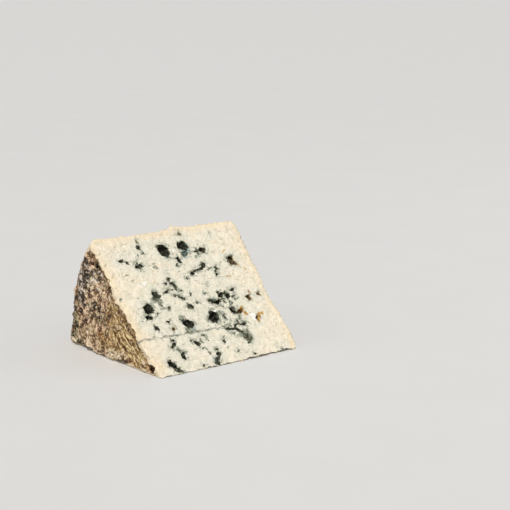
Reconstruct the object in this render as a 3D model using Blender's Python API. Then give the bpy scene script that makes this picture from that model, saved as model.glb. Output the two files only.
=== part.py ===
"""A wedge of blue-veined cheese, cut from a wheel, lying on one of its two cut faces.

X runs along the wheel's axis, Y from the wedge's tip edge to its rind, and Z up. The wedge is the
space between the two cut faces, which meet at the tip edge, the wheel's two flat faces at -X and
+X, and the round rim at the back. The origin is the middle of the base.
"""

import math
import random

import bmesh
import bpy
from mathutils import Matrix, Vector, noise

MM = 0.001

# Driving sizes of the wheel and of the cut, in metres
WHEEL_RADIUS = 100 * MM
TIP_OFFSET = 10 * MM  # the two cuts meet this far short of the wheel's axis
WEDGE_ANGLE = math.radians(44.5)
TIP_WIDTH = 90 * MM  # the wheel's height near its axis
SHOULDER = 3 * MM  # rounding between a flat face and the rim
CUT_EDGE = 1.2 * MM  # rounding of the edges that the knife left
MOST_ROUNDED = 0.15  # no more than this share of the wedge's thickness is rounded, near the tip
CORNER_PULL = 0.3  # how far in a rounded edge lies from where a sharp one would, in roundings

# How much further out than at the tip each flat face lies, in millimetres: distance from the tip, extra
FLARE = {
    -1: [(0, 0.0), (6, 1.4), (15, 2.6), (30, 3.3), (60, 3.8), (100, 4.0)],
    1: [(0, 0.4), (8, 2.4), (20, 2.6), (34, 1.0), (56, 2.4), (74, 3.6), (100, 5.6)],
}

# How finely the surface is divided
ROWS_TO_SHOULDER = 15
SHOULDER_ROWS = 3
COLUMNS = 18
ANGLE_STEPS = 11

# Unevenness: how far the surface strays, and over what length
CUT_WAVES = [(0.7 * MM, 22 * MM), (0.5 * MM, 7 * MM)]
RIND_WAVES = [(2.2 * MM, 26 * MM), (1.1 * MM, 9 * MM)]
CALM_EDGE = 6 * MM  # over this distance from a cut the rind's unevenness fades out
WAVE_SEED = 1796022097  # draws the waves

# The eyes that show on the upper cut face, in millimetres and degrees: across from the middle,
# up from the tip edge, length, width, turn from level, depth
FACE_EYES = [
    (-6.7, 77.6, 9.0, 6.6, 100, 4.2), (7.2, 79.0, 6.8, 5.2, -45, 3.6), (6.2, 73.4, 5.0, 3.6, 30, 1.2),
    (18.6, 74.2, 5.4, 4.2, 20, 3.0), (14.2, 74.2, 3.2, 1.7, 0, 1.8), (-21.6, 81.8, 3.6, 2.8, 20, 2.4),
    (-35.6, 74.6, 3.4, 1.7, 35, 1.5), (-32.8, 72.6, 3.4, 1.6, -30, 1.5), (-27.2, 69.5, 5.2, 2.3, -50, 2.4),
    (0.4, 70.0, 5.4, 2.5, -75, 2.6), (4.6, 59.8, 3.8, 2.3, 25, 2.0), (10.2, 62.0, 7.0, 1.2, 24, 1.4),
    (14.4, 64.0, 3.4, 2.2, 60, 1.9), (33.4, 64.4, 7.0, 2.8, 72, 2.5), (19.8, 56.8, 2.9, 2.0, 60, 1.7),
    (-11.2, 54.6, 5.2, 2.0, -65, 2.0), (-17.4, 50.8, 3.5, 1.9, 8, 1.8), (-25.4, 48.8, 6.8, 5.4, -80, 2.2),
    (-33.4, 42.2, 6.8, 6.0, 0, 4.4), (-36.2, 37.8, 4.0, 2.3, 60, 3.0), (-4.4, 46.2, 3.8, 2.1, 65, 2.0),
    (-7.8, 39.2, 4.8, 3.2, -60, 1.8), (24.6, 44.8, 2.5, 2.1, 0, 1.6), (15.4, 43.0, 4.4, 2.9, 45, 2.4),
    (19.2, 41.4, 4.4, 2.8, 60, 2.4), (10.4, 39.4, 7.6, 2.3, 8, 2.2), (4.0, 30.4, 8.4, 7.0, 50, 4.8),
    (-14.0, 29.0, 6.8, 5.8, -40, 3.8), (-34.0, 29.4, 3.8, 2.6, -60, 2.2), (18.2, 31.4, 5.0, 2.2, 110, 2.0),
    (22.8, 30.8, 4.2, 2.4, 35, 1.8), (32.4, 38.0, 4.4, 2.8, 60, 2.2), (31.0, 24.8, 4.8, 1.9, 62, 1.5),
    (11.0, 21.0, 6.4, 1.5, 0, 1.6), (20.4, 21.6, 5.0, 1.5, 14, 1.4), (15.4, 18.4, 4.6, 2.0, -45, 1.8),
    (18.2, 13.8, 6.4, 4.2, -70, 1.5), (-29.4, 18.0, 4.6, 2.4, 50, 2.0), (-15.0, 15.8, 4.6, 2.5, -40, 2.0),
    (-26.0, 10.4, 5.6, 2.2, 80, 2.4), (-35.2, 6.4, 6.6, 3.6, -50, 3.4), (-5.6, 7.6, 3.8, 2.6, 20, 2.2),
]
WIDE_EYE = 4.5  # millimetres, above which an eye gets a finer wall
EYE_SINK = 0.12  # share of its depth that an eye's widest place lies below the cut
EYE_LUMPS = 0.28  # how far an eye's wall strays, as a share of its size

# The base was cut through the same paste, and has eyes of the same kinds
BASE_EYES = 20
BASE_EYE_LENGTH = (2.4, 7.0)
BASE_EYE_SLIMNESS = (0.45, 0.9)
BASE_EYE_MARGIN = 9.0
BASE_SEED = 11
REST_POINT_CLEAR = 9.0  # no eye lies this near the middle of the base

# Small pits in the rind: the face (-1 left, 1 right), distance back from the tip, height, size
RIND_PITS = [
    (-1, 60.5, 50.5, 6.0), (-1, 8.5, 3.6, 4.6), (-1, 66.0, 24.0, 2.8), (-1, 40.0, 17.0, 2.6),
    (1, 62.0, 38.0, 3.2), (1, 44.0, 20.0, 2.8), (1, 70.0, 12.0, 3.0), (1, 30.0, 9.0, 2.4),
]
PIT_DEPTH = 0.55  # share of a pit's size


def rim_distance(angle):
    """How far the rim is from the tip edge, at an angle above the base."""
    off_middle = angle - WEDGE_ANGLE / 2
    aside = TIP_OFFSET * math.sin(off_middle)
    return math.sqrt(WHEEL_RADIUS**2 - aside**2) - TIP_OFFSET * math.cos(off_middle)


BASE_LENGTH = rim_distance(0)


def half_width(side, distance):
    """The flat face's distance from the middle, at a distance from the tip."""
    for (near, near_extra), (far, far_extra) in zip(FLARE[side], FLARE[side][1:]):
        if distance <= far * MM:
            break
    share = (distance / MM - near) / (far - near)
    return TIP_WIDTH / 2 + (near_extra + (far_extra - near_extra) * share) * MM


def row_places():
    """For each row, how far short of the shoulder it is, and how far its two ends draw in."""
    places = [(1 - row / ROWS_TO_SHOULDER, 0.0) for row in range(ROWS_TO_SHOULDER)]
    for row in range(SHOULDER_ROWS + 1):
        turn = math.pi / 2 * row / SHOULDER_ROWS
        places.append((-math.sin(turn), 1 - math.cos(turn)))
    return places


def spread(number, count, margin):
    """The place, from 0 to 1, of one of count + 1 lines, of which the outer two lie a margin apart."""
    if number in (0, count):
        return number / count
    return margin + (1 - 2 * margin) * (number - 1) / (count - 2)


def wedge_point(place, column, step):
    """The point of the wedge in a column and an angle step, on the row at a place."""
    short, drawn_in = place
    straight = rim_distance(WEDGE_ANGLE * step / ANGLE_STEPS) - SHOULDER
    distance = straight * (1 - short) if short > 0 else straight - SHOULDER * short
    side = -1 if 2 * column < COLUMNS else 1
    width = half_width(side, distance) - SHOULDER * drawn_in
    arc = distance * WEDGE_ANGLE
    rounding = min(CUT_EDGE, arc * MOST_ROUNDED)
    across = 2 * spread(column, COLUMNS, rounding / (2 * width)) - 1
    share = spread(step, ANGLE_STEPS, rounding / arc) if arc else 0
    pull = CORNER_PULL * rounding
    at_side = column in (0, COLUMNS)
    at_rim = drawn_in == 1
    if arc and step in (0, ANGLE_STEPS) and (at_side or at_rim):
        share = abs(share - pull / arc)
        across *= 1 - pull / width if at_side else 1
        distance -= pull if at_rim else 0
    angle = WEDGE_ANGLE * share
    back = distance * math.cos(angle)
    return Vector((across * width, back - BASE_LENGTH / 2, distance * math.sin(angle)))


def wedge_mesh():
    """A box of rows, columns and angle steps, bent so that its first row becomes the tip edge."""
    bm = bmesh.new()
    places = row_places()
    last_row = len(places) - 1
    made = {}

    def corner(column, row, step):
        key = (column, row, step if row else 0)
        if key not in made:
            made[key] = bm.verts.new(wedge_point(places[row], column, key[2]))
        return made[key]

    def add_face(*corners):
        bm.faces.new(list(dict.fromkeys(corner(*at) for at in corners)))

    for row in range(last_row):
        beyond = row + 1
        for column in range(COLUMNS):
            right = column + 1
            for step in (0, ANGLE_STEPS):
                near, far = (row, step), (beyond, step)
                add_face((column, *near), (right, *near), (right, *far), (column, *far))
        for step in range(ANGLE_STEPS):
            up = step + 1
            for column in (0, COLUMNS):
                low, high = (column, row), (column, beyond)
                add_face((*low, step), (*low, up), (*high, up), (*high, step))
    for column in range(COLUMNS):
        right = column + 1
        for step in range(ANGLE_STEPS):
            up = step + 1
            low, high = (last_row, step), (last_row, up)
            add_face((column, *low), (right, *low), (right, *high), (column, *high))
    bmesh.ops.recalc_face_normals(bm, faces=bm.faces)
    return bm


def stray(point, waves):
    """A smooth wandering move at a point, made of waves of a height and a length each."""
    return sum((height * noise.noise_vector(point / length) for height, length in waves), Vector())


def below_cut(point):
    """How deep a point lies under the upper cut face's plane."""
    back = point.y + BASE_LENGTH / 2
    return back * math.sin(WEDGE_ANGLE) - point.z * math.cos(WEDGE_ANGLE)


def roughened(point):
    """Where a point of the smooth wedge ends up: the rind strays most, and the base stays flat."""
    rind_share = min(1, max(0, below_cut(point)) / CALM_EDGE, point.z / CALM_EDGE)
    move = stray(point, CUT_WAVES) + rind_share * stray(point, RIND_WAVES)
    move.z *= min(1, point.z / CALM_EDGE)
    return point + move


def shift_to_middle(bm):
    """The move that brings the middle of the base to the origin."""
    low = Vector(min(vert.co[axis] for vert in bm.verts) for axis in range(3))
    high = Vector(max(vert.co[axis] for vert in bm.verts) for axis in range(3))
    middle = (low + high) / 2
    return Vector((-middle.x, -middle.y, 0))


def new_object(name, bm, collection):
    mesh = bpy.data.meshes.new(name)
    bm.to_mesh(mesh)
    bm.free()
    obj = bpy.data.objects.new(name, mesh)
    collection.objects.link(obj)
    return obj


def eye_cutter(number, frame, size, collection):
    """A lumpy closed ball, sunk into the surface that the frame lies on, which cuts one eye."""
    length, width, depth = (value * MM for value in size)
    bm = bmesh.new()
    fineness = 3 if size[1] > WIDE_EYE else 2
    bmesh.ops.create_icosphere(bm, subdivisions=fineness, radius=1)
    other_place = Vector((3.7 * number, 1.3 * number, 0))
    for vert in bm.verts:
        lump = noise.noise(vert.co * 1.4 + other_place) + 0.5 * noise.noise(vert.co * 3.1 + other_place)
        vert.co *= 1 + EYE_LUMPS * lump
    bmesh.ops.transform(bm, verts=bm.verts, matrix=Matrix.Diagonal((length / 2, width / 2, depth, 1)))
    sunk = Matrix.Translation((0, 0, -EYE_SINK * depth))
    bmesh.ops.transform(bm, verts=bm.verts, matrix=frame @ sunk)
    bmesh.ops.recalc_face_normals(bm, faces=bm.faces)
    cutter = new_object(f"eye_{number:02d}", bm, collection)
    cutter.hide_render = True
    cutter.display_type = "WIRE"


def surface_frame(origin, across, up, turn):
    """Axes at a place on the rough surface: X turned from across towards up, and Z pointing out."""
    out = across.cross(up)
    axes = Matrix((across, up, out)).transposed().to_4x4()
    return Matrix.Translation(roughened(origin)) @ axes @ Matrix.Rotation(math.radians(turn), 4, "Z")


def face_eyes():
    """Frames and sizes of the eyes on the upper cut face."""
    tip = Vector((0, -BASE_LENGTH / 2, 0))
    across = Vector((1, 0, 0))
    up = Vector((0, math.cos(WEDGE_ANGLE), math.sin(WEDGE_ANGLE)))
    for x, v, length, width, turn, depth in FACE_EYES:
        yield surface_frame(tip + across * x * MM + up * v * MM, across, up, turn), (length, width, depth)


def base_eyes():
    """Frames and sizes of the eyes in the base, drawn at random and kept apart."""
    draw = random.Random(BASE_SEED)
    taken = [(0.0, 0.0, REST_POINT_CLEAR)]
    half_x = TIP_WIDTH / MM / 2 - BASE_EYE_MARGIN
    half_y = BASE_LENGTH / MM / 2 - BASE_EYE_MARGIN
    while len(taken) <= BASE_EYES:
        x, y = draw.uniform(-half_x, half_x), draw.uniform(-half_y, half_y)
        length = draw.uniform(*BASE_EYE_LENGTH)
        width = length * draw.uniform(*BASE_EYE_SLIMNESS)
        turn = draw.uniform(0, 180)
        if any(math.hypot(x - ox, y - oy) < length / 2 + clear + 1 for ox, oy, clear in taken):
            continue
        taken.append((x, y, length / 2))
        frame = surface_frame(Vector((x * MM, y * MM, 0)), Vector((1, 0, 0)), Vector((0, -1, 0)), turn)
        yield frame, (length, width, 0.6 * width)


def rind_pits():
    """Frames and sizes of the pits in the wheel's flat faces."""
    for side, back, height, size in RIND_PITS:
        distance = math.hypot(back, height) * MM
        x = side * half_width(side, distance)
        place = Vector((x, back * MM - BASE_LENGTH / 2, height * MM))
        frame = surface_frame(place, Vector((0, side, 0)), Vector((0, 0, 1)), 0)
        yield frame, (size, 0.8 * size, PIT_DEPTH * size)


def cheese_material():
    material = bpy.data.materials.new("ivory_paste")
    material.use_nodes = True
    shader = material.node_tree.nodes["Principled BSDF"]
    shader.inputs["Base Color"].default_value = (0.80, 0.71, 0.55, 1)
    shader.inputs["Roughness"].default_value = 0.55
    shader.inputs["Metallic"].default_value = 0
    return material


def build():
    noise.seed_set(WAVE_SEED)
    for obj in list(bpy.data.objects):
        bpy.data.objects.remove(obj)
    scene = bpy.context.scene.collection
    bm = wedge_mesh()
    for vert in bm.verts:
        vert.co = roughened(vert.co)
    to_middle = Matrix.Translation(shift_to_middle(bm))
    bmesh.ops.transform(bm, verts=bm.verts, matrix=to_middle)
    bmesh.ops.triangulate(bm, faces=bm.faces)
    cheese = new_object("cheese", bm, scene)
    cheese.data.materials.append(cheese_material())

    cutters = bpy.data.collections.new("eye_cutters")
    scene.children.link(cutters)
    places = [*face_eyes(), *base_eyes(), *rind_pits()]
    for number, (frame, size) in enumerate(places):
        eye_cutter(number, to_middle @ frame, size, cutters)
    eyes = cheese.modifiers.new("eyes", "BOOLEAN")
    eyes.operation = "DIFFERENCE"
    eyes.operand_type = "COLLECTION"
    eyes.collection = cutters
    eyes.solver = "EXACT"


build()
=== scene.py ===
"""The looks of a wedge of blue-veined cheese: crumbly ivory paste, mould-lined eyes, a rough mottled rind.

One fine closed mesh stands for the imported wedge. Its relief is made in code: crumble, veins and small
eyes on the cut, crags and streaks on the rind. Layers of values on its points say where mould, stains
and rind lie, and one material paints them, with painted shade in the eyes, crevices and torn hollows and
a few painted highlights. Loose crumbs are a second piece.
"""

import math
import random

import bmesh
import bpy
import numpy as np
from mathutils import Matrix, Vector, noise
from mathutils.bvhtree import BVHTree
from mathutils.kdtree import KDTree


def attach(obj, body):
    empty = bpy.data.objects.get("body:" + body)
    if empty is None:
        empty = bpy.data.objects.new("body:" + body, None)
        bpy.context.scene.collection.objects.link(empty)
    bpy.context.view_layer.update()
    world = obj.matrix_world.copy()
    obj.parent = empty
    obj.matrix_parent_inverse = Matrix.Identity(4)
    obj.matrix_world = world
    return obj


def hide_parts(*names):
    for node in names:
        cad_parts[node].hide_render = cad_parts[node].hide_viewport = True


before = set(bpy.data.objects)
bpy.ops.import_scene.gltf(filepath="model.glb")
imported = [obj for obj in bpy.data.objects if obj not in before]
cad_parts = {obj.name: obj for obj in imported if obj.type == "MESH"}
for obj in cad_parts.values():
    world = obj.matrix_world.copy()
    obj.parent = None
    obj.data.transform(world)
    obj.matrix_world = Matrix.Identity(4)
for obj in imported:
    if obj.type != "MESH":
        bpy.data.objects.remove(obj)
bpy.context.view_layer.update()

MM = 0.001
MICRON = 0.001  # of a millimetre

# The wheel and the cut, in millimetres, as the solid has them
WHEEL_RADIUS = 100.0
TIP_OFFSET = 10.0
WEDGE_ANGLE = math.radians(44.5)
TIP_WIDTH = 90.0
SHOULDER = 3.0
LEFT_FLARE = [(0, 0.0), (6, 1.4), (15, 2.6), (30, 3.3), (60, 3.8), (100, 4.0)]
RIGHT_FLARE = [(0, 0.4), (8, 2.4), (20, 2.6), (34, 1.0), (56, 2.4), (74, 3.6), (100, 5.6)]
CUT_NORMAL = np.array([0.0, -math.sin(WEDGE_ANGLE), math.cos(WEDGE_ANGLE)])
UP_SLOPE = np.array([0.0, math.cos(WEDGE_ANGLE), math.sin(WEDGE_ANGLE)])

# The fine mesh, its noise and its layers
VOXEL = 0.42 * MM
MOST_TRIANGLES = 196_000
NOISE_SHIFT = 17.31  # from one kind of noise to the next, in lumps
FAR_RANGE = 12.0  # millimetres, beyond which a distance layer says nothing more
DEEPEST = 5.0  # millimetres below the cut, beyond which the depth layer says nothing more

# Camera, from the photograph's perspective
CAMERA_PLACE = (-0.4068, -0.5872, 0.2051)
CAMERA_DIRECTION = (0.6011, 0.7712, -0.2096)
FOCAL_PIXELS = 1300
PHOTO_PIXELS = 510
SENSOR_WIDTH = 36.0

# Lights: strength, colour, and place in metres
KEY_LIGHT = (2.45, (1.0, 0.98, 0.95), (-0.40, -0.42, 0.95))
KEY_SOFTNESS = math.radians(14)
FILL_LIGHT = (1.6, (0.94, 0.97, 1.0), (0.95, -0.75, 0.55))
FILL_SIZE = 0.8
LIT_PLACE = (0, 0, 0.03)
WORLD_STRENGTH = 0.42
FLOOR_SIZE = 60.0

# Along the left flat face, in millimetres: back from the middle, how far below the cut the rind begins
LEFT_BORDER = [
    (-44, 1.2), (-38, 2.4), (-31, 3.1), (-27, 1.8), (-23, 0.3), (-19, 0.7), (-14, 1.4), (-9, 1.9),
    (-4, 3.0), (-2.2, 2.6), (-1, 0.5), (2, 0.3), (6, 1.1), (11, 2.0), (15, 1.4), (18, 3.0),
]
# Up the left shoulder, in millimetres: height, how wide a band of bare paste runs along the rim
BARE_SHOULDER = [(0, -1.0), (44, -1.0), (47, 0.6), (51, 1.8), (57, 3.4), (61, 5.2)]
# Broken rind that shows paste: side, back from the middle, up, radius along Y, radius along Z
CHIPS = [
    (-1, -7, 2.2, 5, 4.0), (-1, -1, 3.6, 2.6, 3.4), (-1, 3, 0.8, 5, 1.8), (-1, 42, 2.4, 3.0, 2.6),
    (-1, -30.6, 5.6, 1.9, 1.7), (-1, -18, 0.6, 5, 1.2), (-1, 24, 0.8, 4, 1.2),
    (-1, -41.6, 1.2, 2.0, 2.2), (1, -34, 1.0, 5, 2.2), (1, -12, 0.6, 5, 1.6), (1, 18, 1.0, 4, 1.8),
]

# Torn hollows in the left rind: back from the middle, up, radius along Y, radius along Z, depth
HOLLOWS = [
    (-36.4, 3.4, 3.2, 2.6, 1.5), (12.6, 50.6, 3.0, 2.4, 1.0), (2.6, 44.6, 1.8, 1.8, 0.7),
    (12, 24, 5, 2, 0.5),
]

# Places on the upper cut face are given across from the middle and up from the tip edge, in millimetres.
# The needle's track: width, depth, and the points that it runs through
NEEDLE_TRACK = (0.9, 0.35, [
    (-51, 23.5), (-43, 24.1), (-34, 23.6), (-26, 23.9), (-17, 23.0), (-8, 22.8), (-1, 22.9),
    (4, 22.0), (7, 21.4),
])
# Veins: width, depth, and the points they run through
VEINS = [
    (2.0, 1.30, [(3.2, 59.4), (5.4, 60.8), (8.6, 61.4), (11.4, 62.6)]),
    (2.4, 1.30, [(11.4, 62.2), (12.8, 63.0), (13.8, 64.0)]),
    (1.0, 0.60, [(12.6, 62.6), (15.0, 61.8), (17.4, 61.4)]),
    (1.2, 0.90, [(-19.8, 50.6), (-17.0, 50.9), (-14.6, 52.0), (-12.6, 51.4), (-10.4, 49.4), (-8.4, 49.8)]),
    (1.5, 1.00, [(-13.8, 57.2), (-12.6, 55.4), (-11.0, 52.8)]),
    (1.2, 0.90, [(-13.8, 48.6), (-12.4, 47.0), (-10.6, 45.2), (-9.8, 44.2)]),
    (1.7, 1.10, [(6.6, 21.4), (9.4, 20.8), (12.8, 20.8), (15.4, 22.4), (17.6, 24.6)]),
    (1.2, 0.80, [(16.4, 22.0), (19.6, 22.2), (21.8, 23.0)]),
    (1.5, 1.00, [(12.8, 20.8), (14.6, 18.8), (16.0, 16.6)]),
    (0.8, 0.50, [(5.6, 27.4), (6.0, 25.0), (6.6, 22.4)]),
    (1.3, 0.90, [(16.6, 33.4), (16.8, 30.8), (18.8, 29.4), (20.8, 30.0)]),
    (1.2, 0.80, [(18.2, 33.6), (20.0, 32.6), (20.4, 31.0)]),
    (0.8, 0.50, [(19.4, 29.0), (19.8, 26.8), (18.4, 24.8)]),
    (0.8, 0.60, [(-11.8, 18.6), (-12.0, 16.4), (-10.6, 15.4)]),
    (0.9, 0.60, [(-8.8, 15.0), (-7.4, 16.6), (-8.2, 19.4), (-10.2, 20.6)]),
    (1.0, 0.60, [(-18.4, 18.6), (-16.4, 17.4), (-14.6, 17.8)]),
    (1.1, 0.70, [(-15.8, 15.8), (-14.0, 14.0), (-13.6, 12.2)]),
    (0.9, 0.60, [(-32.6, 36.2), (-30.8, 37.4), (-29.0, 39.2)]),
    (0.8, 0.50, [(-29.6, 22.8), (-29.4, 20.2)]),
    (0.9, 0.60, [(-17.8, 27.2), (-18.0, 24.6), (-16.0, 23.6), (-13.6, 24.4)]),
    (0.8, 0.45, [(-28.8, 15.2), (-27.6, 13.0)]),
    (0.7, 0.40, [(-26.2, 13.6), (-24.4, 10.6), (-24.8, 8.0)]),
    (2.8, 1.30, [(-6.0, 6.6), (-7.6, 4.2), (-9.4, 1.8), (-10.4, -0.6)]),
    (0.8, 0.40, [(-12.0, 12.4), (-10.6, 9.6), (-9.8, 7.6)]),
    (3.4, 1.80, [(-36.4, 6.8), (-34.6, 3.8), (-33.0, 0.6), (-32.6, -1.0)]),
    (0.9, 0.50, [(-26.0, 46.0), (-25.2, 43.4), (-24.6, 41.6)]),
    (0.8, 0.50, [(13.6, 73.0), (14.4, 71.8)]),
    (3.0, 1.60, [(6.0, 40.6), (8.6, 39.8)]),
    (1.2, 0.80, [(8.6, 39.8), (12.0, 40.4), (15.8, 40.0)]),
    (0.8, 0.50, [(13.2, 38.8), (15.4, 38.2), (17.2, 39.0)]),
    (0.8, 0.40, [(2.2, 14.6), (3.0, 16.6), (3.4, 18.2)]),
    (0.9, 0.50, [(-21.2, 84.2), (-20.8, 86.0)]),
    (0.9, 0.50, [(19.6, 58.6), (20.6, 60.4)]),
    (0.8, 0.40, [(34.6, 61.6), (36.4, 59.6), (37.2, 58.4)]),
    (2.4, 1.40, [(34.2, 66.6), (32.2, 65.4), (31.9, 63.4), (33.6, 61.8)]),
]

# Small dark eyes: across, up, length, width, turn from level in degrees, depth
SMALL_EYES = [
    (-15.6, 56.0, 2.0, 1.7, 30, 1.2), (-12.8, 58.2, 2.2, 1.8, 10, 1.3), (-18.0, 50.7, 2.8, 2.2, 10, 1.3),
    (-14.6, 47.4, 2.2, 1.6, -10, 1.0), (-11.8, 46.2, 1.6, 1.5, 0, 0.9), (-9.6, 44.6, 1.9, 1.4, 0, 0.9),
    (-24.4, 76.4, 1.1, 0.9, 0, 0.5), (-20.6, 78.0, 2.6, 0.9, 60, 0.5), (8.6, 86.6, 1.6, 1.5, 0, 0.7),
    (-1.0, 57.4, 2.4, 1.4, 80, 0.7), (20.8, 60.4, 2.2, 1.8, 40, 1.1), (-21.4, 40.6, 1.6, 1.3, 0, 0.8),
    (-40.2, 35.6, 1.2, 0.9, 0, 0.4), (-25.8, 32.8, 2.3, 1.4, -30, 0.8), (-24.8, 27.8, 2.2, 1.5, -20, 0.9),
    (-16.6, 31.6, 3.0, 2.2, 30, 1.2), (2.2, 14.2, 2.6, 2.0, 60, 1.3), (7.6, 6.2, 1.6, 1.0, 20, 0.6),
    (17.0, 2.4, 2.0, 1.7, 0, 1.0), (-17.8, 2.4, 1.6, 1.1, 30, 0.6), (36.0, 0.9, 1.8, 1.1, 0, 0.7),
    (17.4, 10.4, 2.2, 1.3, 0, 0.9), (19.6, 17.0, 1.3, 3.4, -20, 0.8), (39.6, 39.2, 1.6, 3.0, 20, 0.8),
    (-31.4, 16.8, 2.6, 1.6, -60, 1.0), (-36.6, 9.4, 1.7, 1.2, 0, 0.8), (5.4, 45.2, 1.3, 1.1, 0, 0.5),
    (-2.8, 66.8, 1.9, 1.3, 40, 0.6), (34.6, 61.0, 2.6, 1.8, -60, 1.1), (-5.4, 9.8, 2.2, 1.4, 0, 0.9),
    (10.2, 51.4, 1.2, 0.9, 0, 0.4), (-27.4, 71.6, 2.4, 1.7, 70, 1.1), (-3.0, 40.0, 1.1, 0.8, 0, 0.4),
    (-12.8, 62.4, 1.2, 0.8, 0, 0.35), (24.6, 62.2, 1.2, 0.7, 30, 0.3), (28.6, 84.0, 1.0, 0.8, 0, 0.3),
    (14.4, 43.8, 2.8, 4.6, 10, 2.0), (18.6, 42.6, 3.0, 3.8, 20, 1.8), (-26.2, 69.6, 3.2, 2.6, -40, 1.6),
    (-35.2, 36.4, 3.4, 2.6, 40, 1.8), (-8.2, 79.4, 4.6, 4.2, 0, 1.7),
    (14.6, 74.0, 2.6, 1.6, 10, 1.0), (-0.6, 28.8, 2.6, 1.6, 30, 1.2),
    (-6.4, 73.0, 2.4, 1.8, 20, 0.7), (-28.6, 20.6, 2.0, 1.5, 30, 0.9),
]

# Stains that lie nearly level with the paste, and one painted highlight: across, up, length, width, turn,
# strength
TEAL_STAINS = [
    (7.4, 76.0, 6.4, 5.4, 60, 0.9), (9.0, 79.0, 3.6, 2.6, 30, 0.8), (5.0, 71.4, 5.0, 3.2, 40, 0.6),
    (1.6, 69.4, 4.0, 1.6, 40, 0.5),
    (-7.0, 72.4, 4.4, 3.0, 20, 0.6), (-9.4, 4.6, 6.0, 3.4, 50, 0.5), (-4.6, 4.0, 2.4, 1.4, 0, 0.4),
    (14.6, 15.4, 5.0, 4.0, 0, 0.3), (9.4, 42.4, 5.0, 3.4, 30, 0.45), (-12.6, 25.4, 6.4, 2.4, 10, 0.45),
]
GREY_STAINS = [
    (-25.8, 46.6, 7.0, 4.8, -80, 1.0), (-8.0, 38.6, 5.0, 3.6, -60, 0.9), (8.6, 31.6, 5.4, 4.2, -20, 0.8),
    (17.6, 14.8, 9.0, 6.0, -60, 1.0), (6.0, 26.0, 6.6, 2.8, 75, 0.6), (-16.6, 25.6, 5.4, 4.0, 60, 0.65),
    (-12.4, 23.6, 8.0, 2.0, 0, 0.6), (-17.8, 68.4, 5.8, 3.8, -60, 0.55), (-37.4, 64.8, 2.6, 2.2, 40, 0.6),
    (-38.8, 69.4, 2.2, 1.6, 40, 0.5), (-26.0, 41.6, 3.4, 1.6, 70, 0.5), (8.6, 36.4, 6.0, 2.6, 40, 0.5),
    (20.0, 26.6, 6.0, 2.4, 80, 0.65), (-3.4, 62.6, 3.6, 2.2, 20, 0.45), (-47.4, 51.6, 4.0, 2.0, 60, 0.6),
    (-25.0, 12.4, 5.6, 3.4, 60, 0.55), (-11.0, 9.0, 5.6, 2.2, -50, 0.5), (12.4, 4.4, 4.2, 2.0, 20, 0.35),
    (21.0, 35.0, 3.0, 2.0, 0, 0.5), (7.2, 63.6, 3.0, 1.8, 50, 0.45), (1.8, 9.8, 3.2, 1.8, 60, 0.6),
    (34.6, 59.4, 3.0, 2.4, -60, 0.5), (15.6, 60.6, 5.0, 2.4, 20, 0.6), (-40.2, 8.6, 2.0, 1.4, 60, 0.45),
    (29.6, 4.2, 1.8, 1.2, 0, 0.4), (-2.6, 57.6, 3.0, 2.2, 0, 0.5), (-27.4, 66.0, 2.2, 1.4, 0, 0.45),
    (-17.6, 33.4, 4.4, 3.4, 20, 0.75), (13.2, 15.6, 7.0, 4.0, 20, 0.4), (-20.6, 78.6, 4.4, 2.0, 60, 0.5),
    (-21.4, 25.4, 3.0, 1.8, 30, 0.4), (-15.4, 20.4, 4.0, 1.6, 40, 0.5), (3.6, 17.4, 3.0, 1.4, 60, 0.5),
    (26.4, 72.6, 2.4, 1.4, 0, 0.3), (-31.0, 74.4, 3.0, 1.6, 0, 0.4), (1.4, 86.0, 3.4, 1.2, 60, 0.4),
    (-5.8, 81.6, 5.0, 2.0, 20, 0.35), (22.0, 47.0, 4.0, 2.2, 30, 0.4), (37.6, 60.0, 2.4, 1.4, 70, 0.4),
]
OCHRE_STAINS = [
    (31.6, 24.4, 6.2, 3.0, 62, 1.0), (34.4, 27.0, 4.2, 2.2, 12, 1.0), (31.8, 38.2, 4.8, 3.4, 60, 0.6),
    (23.4, 31.6, 5.0, 3.4, 35, 0.75), (24.6, 28.4, 3.4, 2.0, -60, 0.9), (39.8, 39.2, 2.2, 4.0, 20, 0.7),
    (26.2, 54.0, 4.4, 1.9, -10, 0.7), (31.6, 70.6, 4.2, 2.0, 20, 0.5), (-24.8, 27.8, 2.8, 2.3, -20, 0.8),
    (39.4, 57.4, 1.6, 4.6, 10, 0.45), (-38.8, 69.6, 2.0, 1.6, 0, 0.6), (36.4, 60.6, 2.0, 4.0, 30, 0.6),
    (8.6, 86.4, 1.8, 1.8, 0, 0.5), (-21.2, 76.8, 1.8, 1.2, 40, 0.45), (38.6, 46.6, 2.0, 1.6, 0, 0.4),
    (0.2, 9.8, 2.2, 1.6, 60, 0.5), (34.0, 42.0, 2.6, 3.4, 20, 0.45), (21.6, 72.4, 2.4, 1.4, 10, 0.35),
]
BROWN_STAINS = [
    (-7.4, 78.8, 5.6, 4.6, 100, 1.0), (18.6, 74.4, 4.4, 3.0, 20, 0.6), (31.2, 25.2, 3.0, 1.4, 62, 0.8),
    (33.4, 63.8, 8.4, 3.6, 76, 0.9), (-24.8, 27.8, 2.0, 1.6, -20, 0.8),
    (32.2, 37.6, 4.2, 2.6, 60, 0.9), (22.2, 30.8, 3.8, 2.4, 35, 0.8), (8.6, 86.6, 2.0, 2.0, 0, 0.45),
    (39.8, 39.0, 1.8, 3.2, 20, 0.8), (18.6, 14.4, 4.0, 3.0, -60, 0.5), (-34.4, 28.8, 3.8, 2.4, -60, 0.5),
]
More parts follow.
